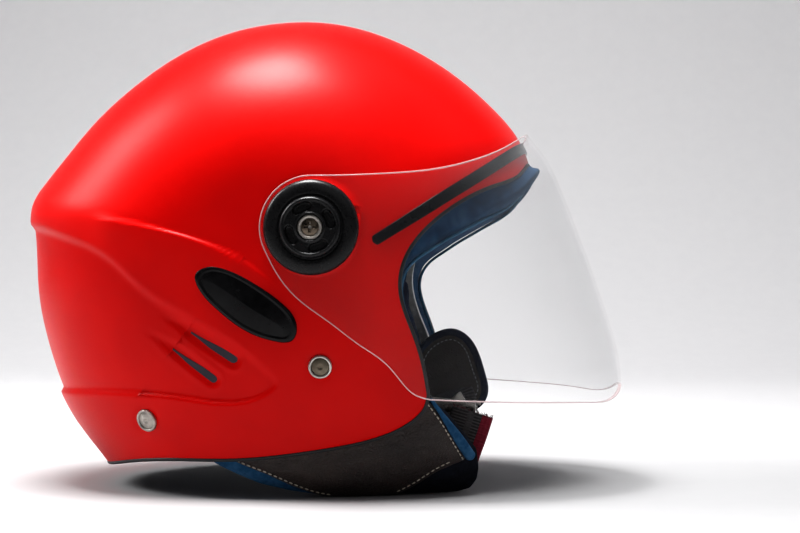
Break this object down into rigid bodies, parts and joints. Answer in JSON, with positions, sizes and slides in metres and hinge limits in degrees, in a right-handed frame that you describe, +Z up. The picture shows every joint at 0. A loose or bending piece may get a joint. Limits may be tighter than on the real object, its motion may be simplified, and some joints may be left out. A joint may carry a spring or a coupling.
{
  "type": "open face motorcycle helmet",
  "caption": "Open face motorcycle helmet with a hinged clear visor, padded lining, leather-look neck skirts and a chin strap with a quick-release buckle.",
  "frame": {"origin": "centre of the outline on the surface that the helmet stands on, under the neck skirts", "axes": "+X to the front of the helmet, +Y to the wearer's left, +Z up"},
  "size_m": [0.3336, 0.2722, 0.2595],
  "materials": {
    "red_paint": "satin",
    "black_rubber": "matte",
    "black_gloss": "gloss",
    "slate_plastic": "matte",
    "black_plastic": "satin",
    "blue_velour": "matte",
    "clear_visor": "gloss",
    "bright_steel": "satin",
    "dark_nickel": "satin",
    "pale_nickel": "satin",
    "white_foam": "matte",
    "navy_fabric": "matte",
    "brown_leather": "satin",
    "black_webbing": "matte",
    "buckle_steel": "satin",
    "black_nylon": "satin"
  },
  "bodies": {
    "helmet": {"shell": "red_paint", "edge_trim": "black_rubber", "brow_strip": "black_rubber", "side_badge_left": "black_gloss", "side_badge_right": "black_gloss", "vent_insert_left": "slate_plastic", "vent_insert_right": "slate_plastic", "face_lining": "blue_velour", "hinge_base_left": "black_plastic", "hinge_base_right": "black_plastic", "hinge_cap_left": "black_plastic", "hinge_cap_right": "black_plastic", "hinge_screw_left": "bright_steel", "hinge_screw_right": "bright_steel", "hinge_nut_left": "bright_steel", "hinge_nut_right": "bright_steel", "strap_rivet_left": "dark_nickel", "strap_rivet_right": "dark_nickel", "skirt_rivet_left": "pale_nickel", "skirt_rivet_right": "pale_nickel", "rivet_washers": "bright_steel", "foam_liner": "white_foam", "crown_pad": "navy_fabric", "cheek_pad_left": "navy_fabric", "cheek_pad_right": "navy_fabric", "neck_roll": "navy_fabric", "rear_lining": "blue_velour", "skirt_lining_left": "navy_fabric", "skirt_lining_right": "navy_fabric", "neck_skirt_left": "brown_leather", "neck_skirt_right": "brown_leather", "skirt_hem_left": "blue_velour", "skirt_hem_right": "blue_velour", "skirt_piping_left": "blue_velour", "skirt_piping_right": "blue_velour", "strap_left": "black_webbing", "strap_right": "black_webbing", "strap_pad": "brown_leather", "buckle_housing": "buckle_steel", "lever_pin": "bright_steel", "lever_spring": "bright_steel"},
    "visor": {"visor_shield": "clear_visor"},
    "tongue": {"buckle_tongue": "black_nylon"},
    "release": {"release_lever": "buckle_steel"}
  },
  "joints": [
    {"name": "visor_hinge", "type": "hinge", "parent": "helmet", "child": "visor", "pos_m": [0.003, 0, 0.1415], "axis": [0, -1, 0], "range_deg": [0, 72]},
    {"name": "tongue_slide", "type": "slide", "parent": "helmet", "child": "tongue", "axis": [0, 1, 0], "range_m": [0, 0.015], "deforming": ["strap_left"]},
    {"name": "release_lever_hinge", "type": "hinge", "parent": "helmet", "child": "release", "pos_m": [0.0735, -0.03, 0.0434], "axis": [1, 0, 0], "range_deg": [0, 22], "stiffness_Nm_per_rad": 0.02, "springref_deg": -17.19}
  ]
}
